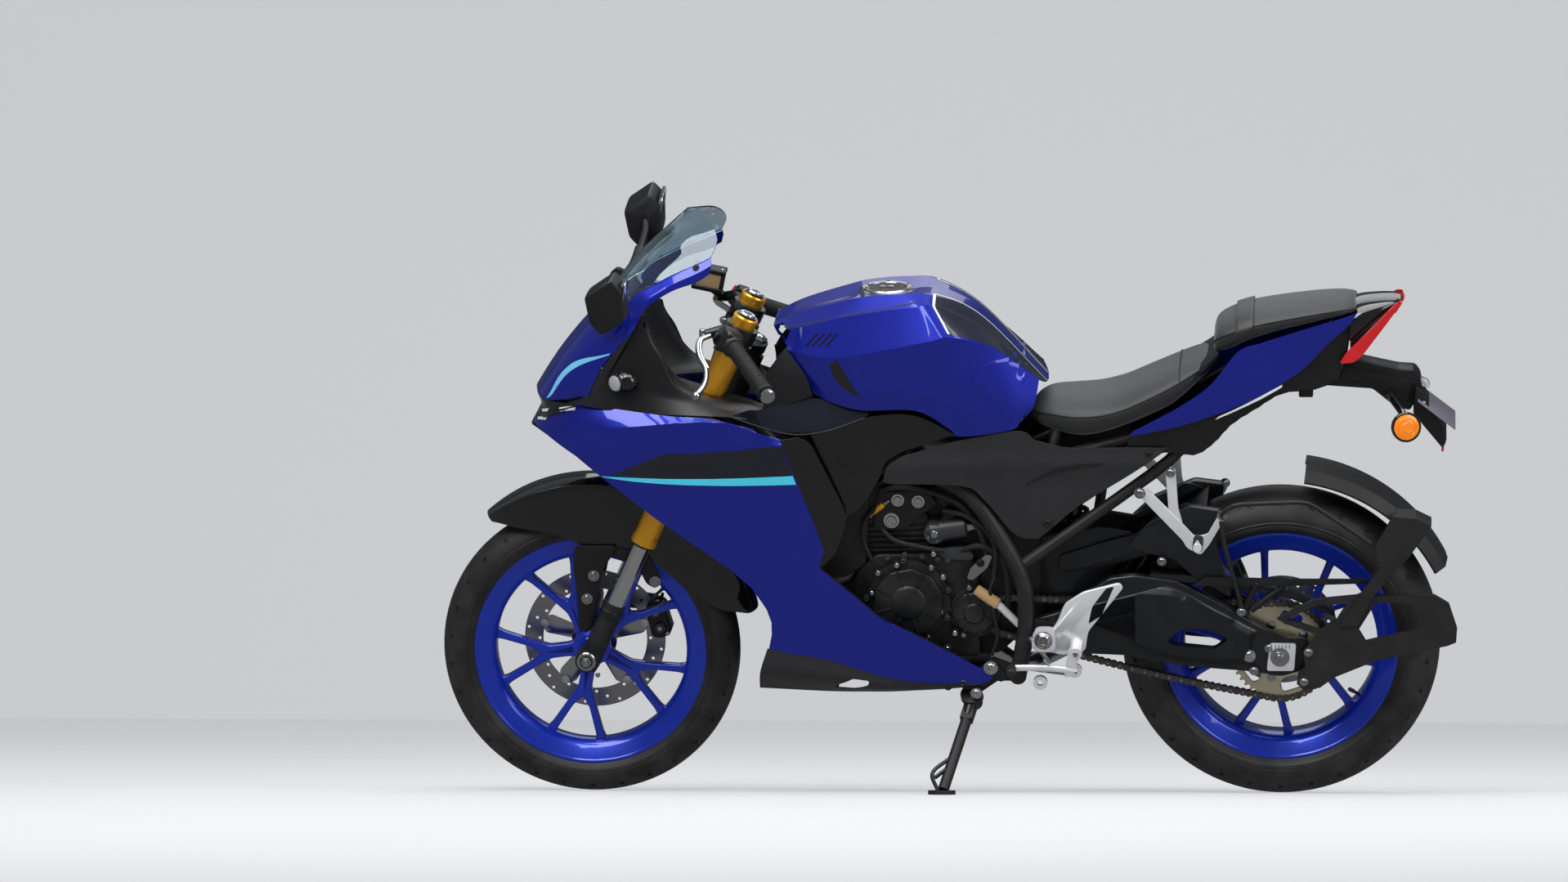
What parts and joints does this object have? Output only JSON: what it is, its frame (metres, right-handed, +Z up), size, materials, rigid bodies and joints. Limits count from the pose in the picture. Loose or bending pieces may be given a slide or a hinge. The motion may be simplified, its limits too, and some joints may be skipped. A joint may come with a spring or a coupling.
{
  "type": "sport motorcycle",
  "caption": "Sport motorcycle with fairings, gold front fork, cast spoked wheels, stepped seat and chain drive, leaning on its side stand; it steers, rolls and folds its stand.",
  "frame": {"origin": "on the ground, under the middle of the bounding box", "axes": "+X to the rear along the wheelbase, +Z up, -Y to the machine's left side, the side it leans to; the machine leans on its side stand"},
  "size_m": [2.0099, 0.8842, 1.2017],
  "materials": {
    "main_frame": "satin",
    "engine": "satin",
    "radiator": "matt",
    "exhaust": "satin",
    "swingarm": "satin",
    "rear_axle": "satin",
    "shock_absorber": "satin",
    "drive_chain": "satin",
    "chain_guard": "matt",
    "rear_mudguard": "satin",
    "wheel_guard": "satin",
    "guard_rails": "gloss",
    "rear_caliper": "satin",
    "fuel_tank": "gloss metallic",
    "rider_seat": "matt",
    "pillion_seat": "matt",
    "tail_panels": "gloss metallic",
    "tail_light": "gloss",
    "plate_holder": "matt",
    "turn_signals": "gloss",
    "nose_fairing": "gloss metallic",
    "headlight": "clear",
    "windscreen": "clear",
    "side_fairings": "gloss metallic",
    "belly_pan": "matt",
    "inner_panels": "gloss",
    "side_covers": "matt",
    "dashboard": "matt",
    "mirrors": "gloss",
    "footrests": "satin",
    "fork_clamps": "satin",
    "fork_outer_tubes": "anodised gold",
    "fork_inner_tubes": "polished",
    "front_axle": "satin",
    "handlebars": "satin",
    "grips": "matt",
    "front_mudguard": "gloss",
    "front_caliper": "satin",
    "brake_hose": "matt",
    "front_tyre": "matt",
    "front_rim": "gloss",
    "front_disc": "brushed",
    "rear_tyre": "matt",
    "rear_rim": "gloss",
    "rear_disc": "brushed",
    "rear_sprocket": "satin",
    "side_stand": "satin",
    "fuel_cap": "satin"
  },
  "bodies": {
    "chassis": {"main_frame": "main_frame", "engine": "engine", "radiator": "radiator", "exhaust": "exhaust", "swingarm": "swingarm", "rear_axle": "rear_axle", "shock_absorber": "shock_absorber", "drive_chain": "drive_chain", "chain_guard": "chain_guard", "rear_mudguard": "rear_mudguard", "wheel_guard": "wheel_guard", "guard_rails": "guard_rails", "rear_caliper": "rear_caliper", "fuel_tank": "fuel_tank", "rider_seat": "rider_seat", "pillion_seat": "pillion_seat", "tail_panels": "tail_panels", "tail_light": "tail_light", "plate_holder": "plate_holder", "turn_signals": "turn_signals", "nose_fairing": "nose_fairing", "headlight": "headlight", "windscreen": "windscreen", "side_fairings": "side_fairings", "belly_pan": "belly_pan", "inner_panels": "inner_panels", "side_covers": "side_covers", "dashboard": "dashboard", "mirrors": "mirrors", "footrests": "footrests"},
    "steering": {"fork_clamps": "fork_clamps", "fork_outer_tubes": "fork_outer_tubes", "fork_inner_tubes": "fork_inner_tubes", "front_axle": "front_axle", "handlebars": "handlebars", "grips": "grips", "front_mudguard": "front_mudguard", "front_caliper": "front_caliper", "brake_hose": "brake_hose"},
    "front_wheel": {"front_tyre": "front_tyre", "front_rim": "front_rim", "front_disc": "front_disc"},
    "rear_wheel": {"rear_tyre": "rear_tyre", "rear_rim": "rear_rim", "rear_disc": "rear_disc", "rear_sprocket": "rear_sprocket"},
    "side_stand": {"side_stand": "side_stand"},
    "fuel_cap": {"fuel_cap": "fuel_cap"}
  },
  "joints": [
    {"name": "steering_turn", "type": "hinge", "parent": "chassis", "child": "steering", "pos_m": [-0.66771, 0.20512, 0.26983], "axis": [0.4226, -0.2376, 0.8746], "range_deg": [-32, 32]},
    {"name": "front_wheel_spin", "type": "hinge", "parent": "steering", "child": "front_wheel", "pos_m": [-0.709, 0.20033, 0.28746], "axis": [0, 0.965, 0.2622], "continuous": true},
    {"name": "rear_wheel_spin", "type": "hinge", "parent": "chassis", "child": "rear_wheel", "pos_m": [0.659, 0.19568, 0.30457], "axis": [0, 0.965, 0.2622], "continuous": true},
    {"name": "side_stand_fold", "type": "hinge", "parent": "chassis", "child": "side_stand", "pos_m": [0.054, 0.11303, 0.1816], "axis": [-0.0699, -0.7943, 0.6034], "range_deg": [0, 100]},
    {"name": "fuel_cap_lid", "type": "hinge", "parent": "chassis", "child": "fuel_cap", "pos_m": [-0.14899, 0.00795, 0.99552], "axis": [0, -0.965, -0.2622], "range_deg": [0, 95]}
  ]
}
